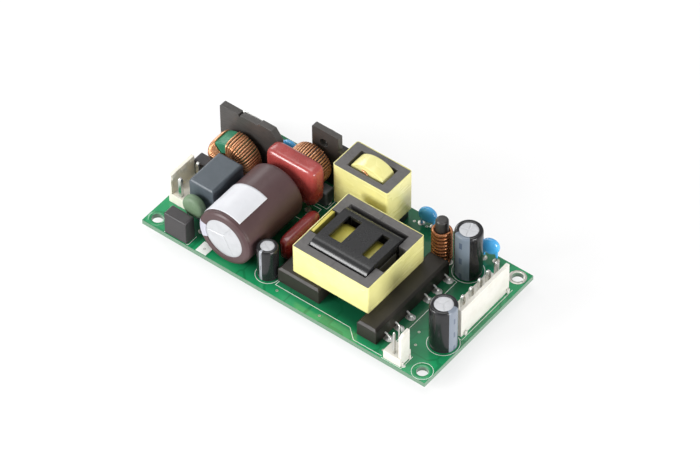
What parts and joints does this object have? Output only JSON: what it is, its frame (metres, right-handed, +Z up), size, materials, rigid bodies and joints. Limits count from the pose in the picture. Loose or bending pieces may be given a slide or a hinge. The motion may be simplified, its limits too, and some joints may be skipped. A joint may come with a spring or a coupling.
{
  "type": "open frame power supply",
  "caption": "Bare board power supply with a mains input header, filter and boost stages, a taped transformer, heat sinks and a row of output posts.",
  "frame": {"origin": "centre of the four mounting holes on the underside of the board", "axes": "+X along the board from the mains input end to the output end, +Y from the front long edge to the back one, +Z up from the board towards the parts"},
  "size_m": [0.1016, 0.0508, 0.0242],
  "materials": {
    "board": "green solder mask",
    "cream_plastic": "moulded nylon",
    "tin": "tinned",
    "black_plastic": "moulded, slightly glossy",
    "grey_plastic": "moulded box",
    "grey_green_coat": "dull coating",
    "green_core": "epoxy coated ring",
    "copper": "enamelled copper wire",
    "aluminium": "bare can",
    "brown_sleeve": "shrunk sleeve",
    "white_label": "plain label",
    "seal": "bung",
    "red_dip": "dipped epoxy",
    "blue_dip": "dipped disc",
    "dark_box": "moulded box",
    "black_anodised": "black anodised",
    "black_sleeve": "shrunk sleeve",
    "ferrite": "sintered ferrite",
    "yellow_tape": "polyester tape",
    "solder": "bright solder",
    "chip_ceramic": "chip parts"
  },
  "bodies": {
    "root": {"aux_capacitor_can": "aluminium", "aux_capacitor_sleeve": "black_sleeve", "boost_base": "black_plastic", "boost_core_back": "ferrite", "boost_core_front": "ferrite", "boost_tape": "yellow_tape", "boost_winding": "yellow_tape", "bulk_capacitor_can": "aluminium", "bulk_capacitor_label": "white_label", "bulk_capacitor_leads": "tin", "bulk_capacitor_seal": "seal", "bulk_capacitor_sleeve": "brown_sleeve", "choke_core": "green_core", "choke_line_winding": "copper", "choke_neutral_winding": "copper", "circuit_board": "board", "component_leads": "tin", "disc_capacitors": "blue_dip", "filter_coil": "copper", "filter_rod": "ferrite", "front_output_capacitor_can": "aluminium", "front_output_capacitor_sleeve": "black_sleeve", "heatsink_screws": "tin", "input_header_housing": "cream_plastic", "input_header_posts": "tin", "input_heatsink": "black_anodised", "inrush_thermistor": "grey_green_coat", "large_film_capacitor": "red_dip", "line_fuse": "black_plastic", "magnetics_pins": "tin", "neutral_fuse": "black_plastic", "output_header_housing": "cream_plastic", "output_header_posts": "tin", "package_bodies": "black_plastic", "package_leads": "tin", "package_tabs": "tin", "ring_choke_core": "ferrite", "ring_choke_saddle": "black_plastic", "ring_choke_winding": "copper", "signal_header_housing": "cream_plastic", "signal_header_posts": "tin", "slim_film_capacitor": "red_dip", "small_box_capacitor": "dark_box", "solder_joints": "solder", "switch_heatsink": "black_anodised", "tall_output_capacitor_can": "aluminium", "tall_output_capacitor_sleeve": "black_sleeve", "transformer_base": "black_plastic", "transformer_core_left": "ferrite", "transformer_core_right": "ferrite", "transformer_former": "black_plastic", "transformer_tape": "yellow_tape", "transformer_winding": "yellow_tape", "underside_chips": "black_plastic", "underside_passives": "chip_ceramic", "x_capacitor": "grey_plastic"}
  },
  "joints": []
}
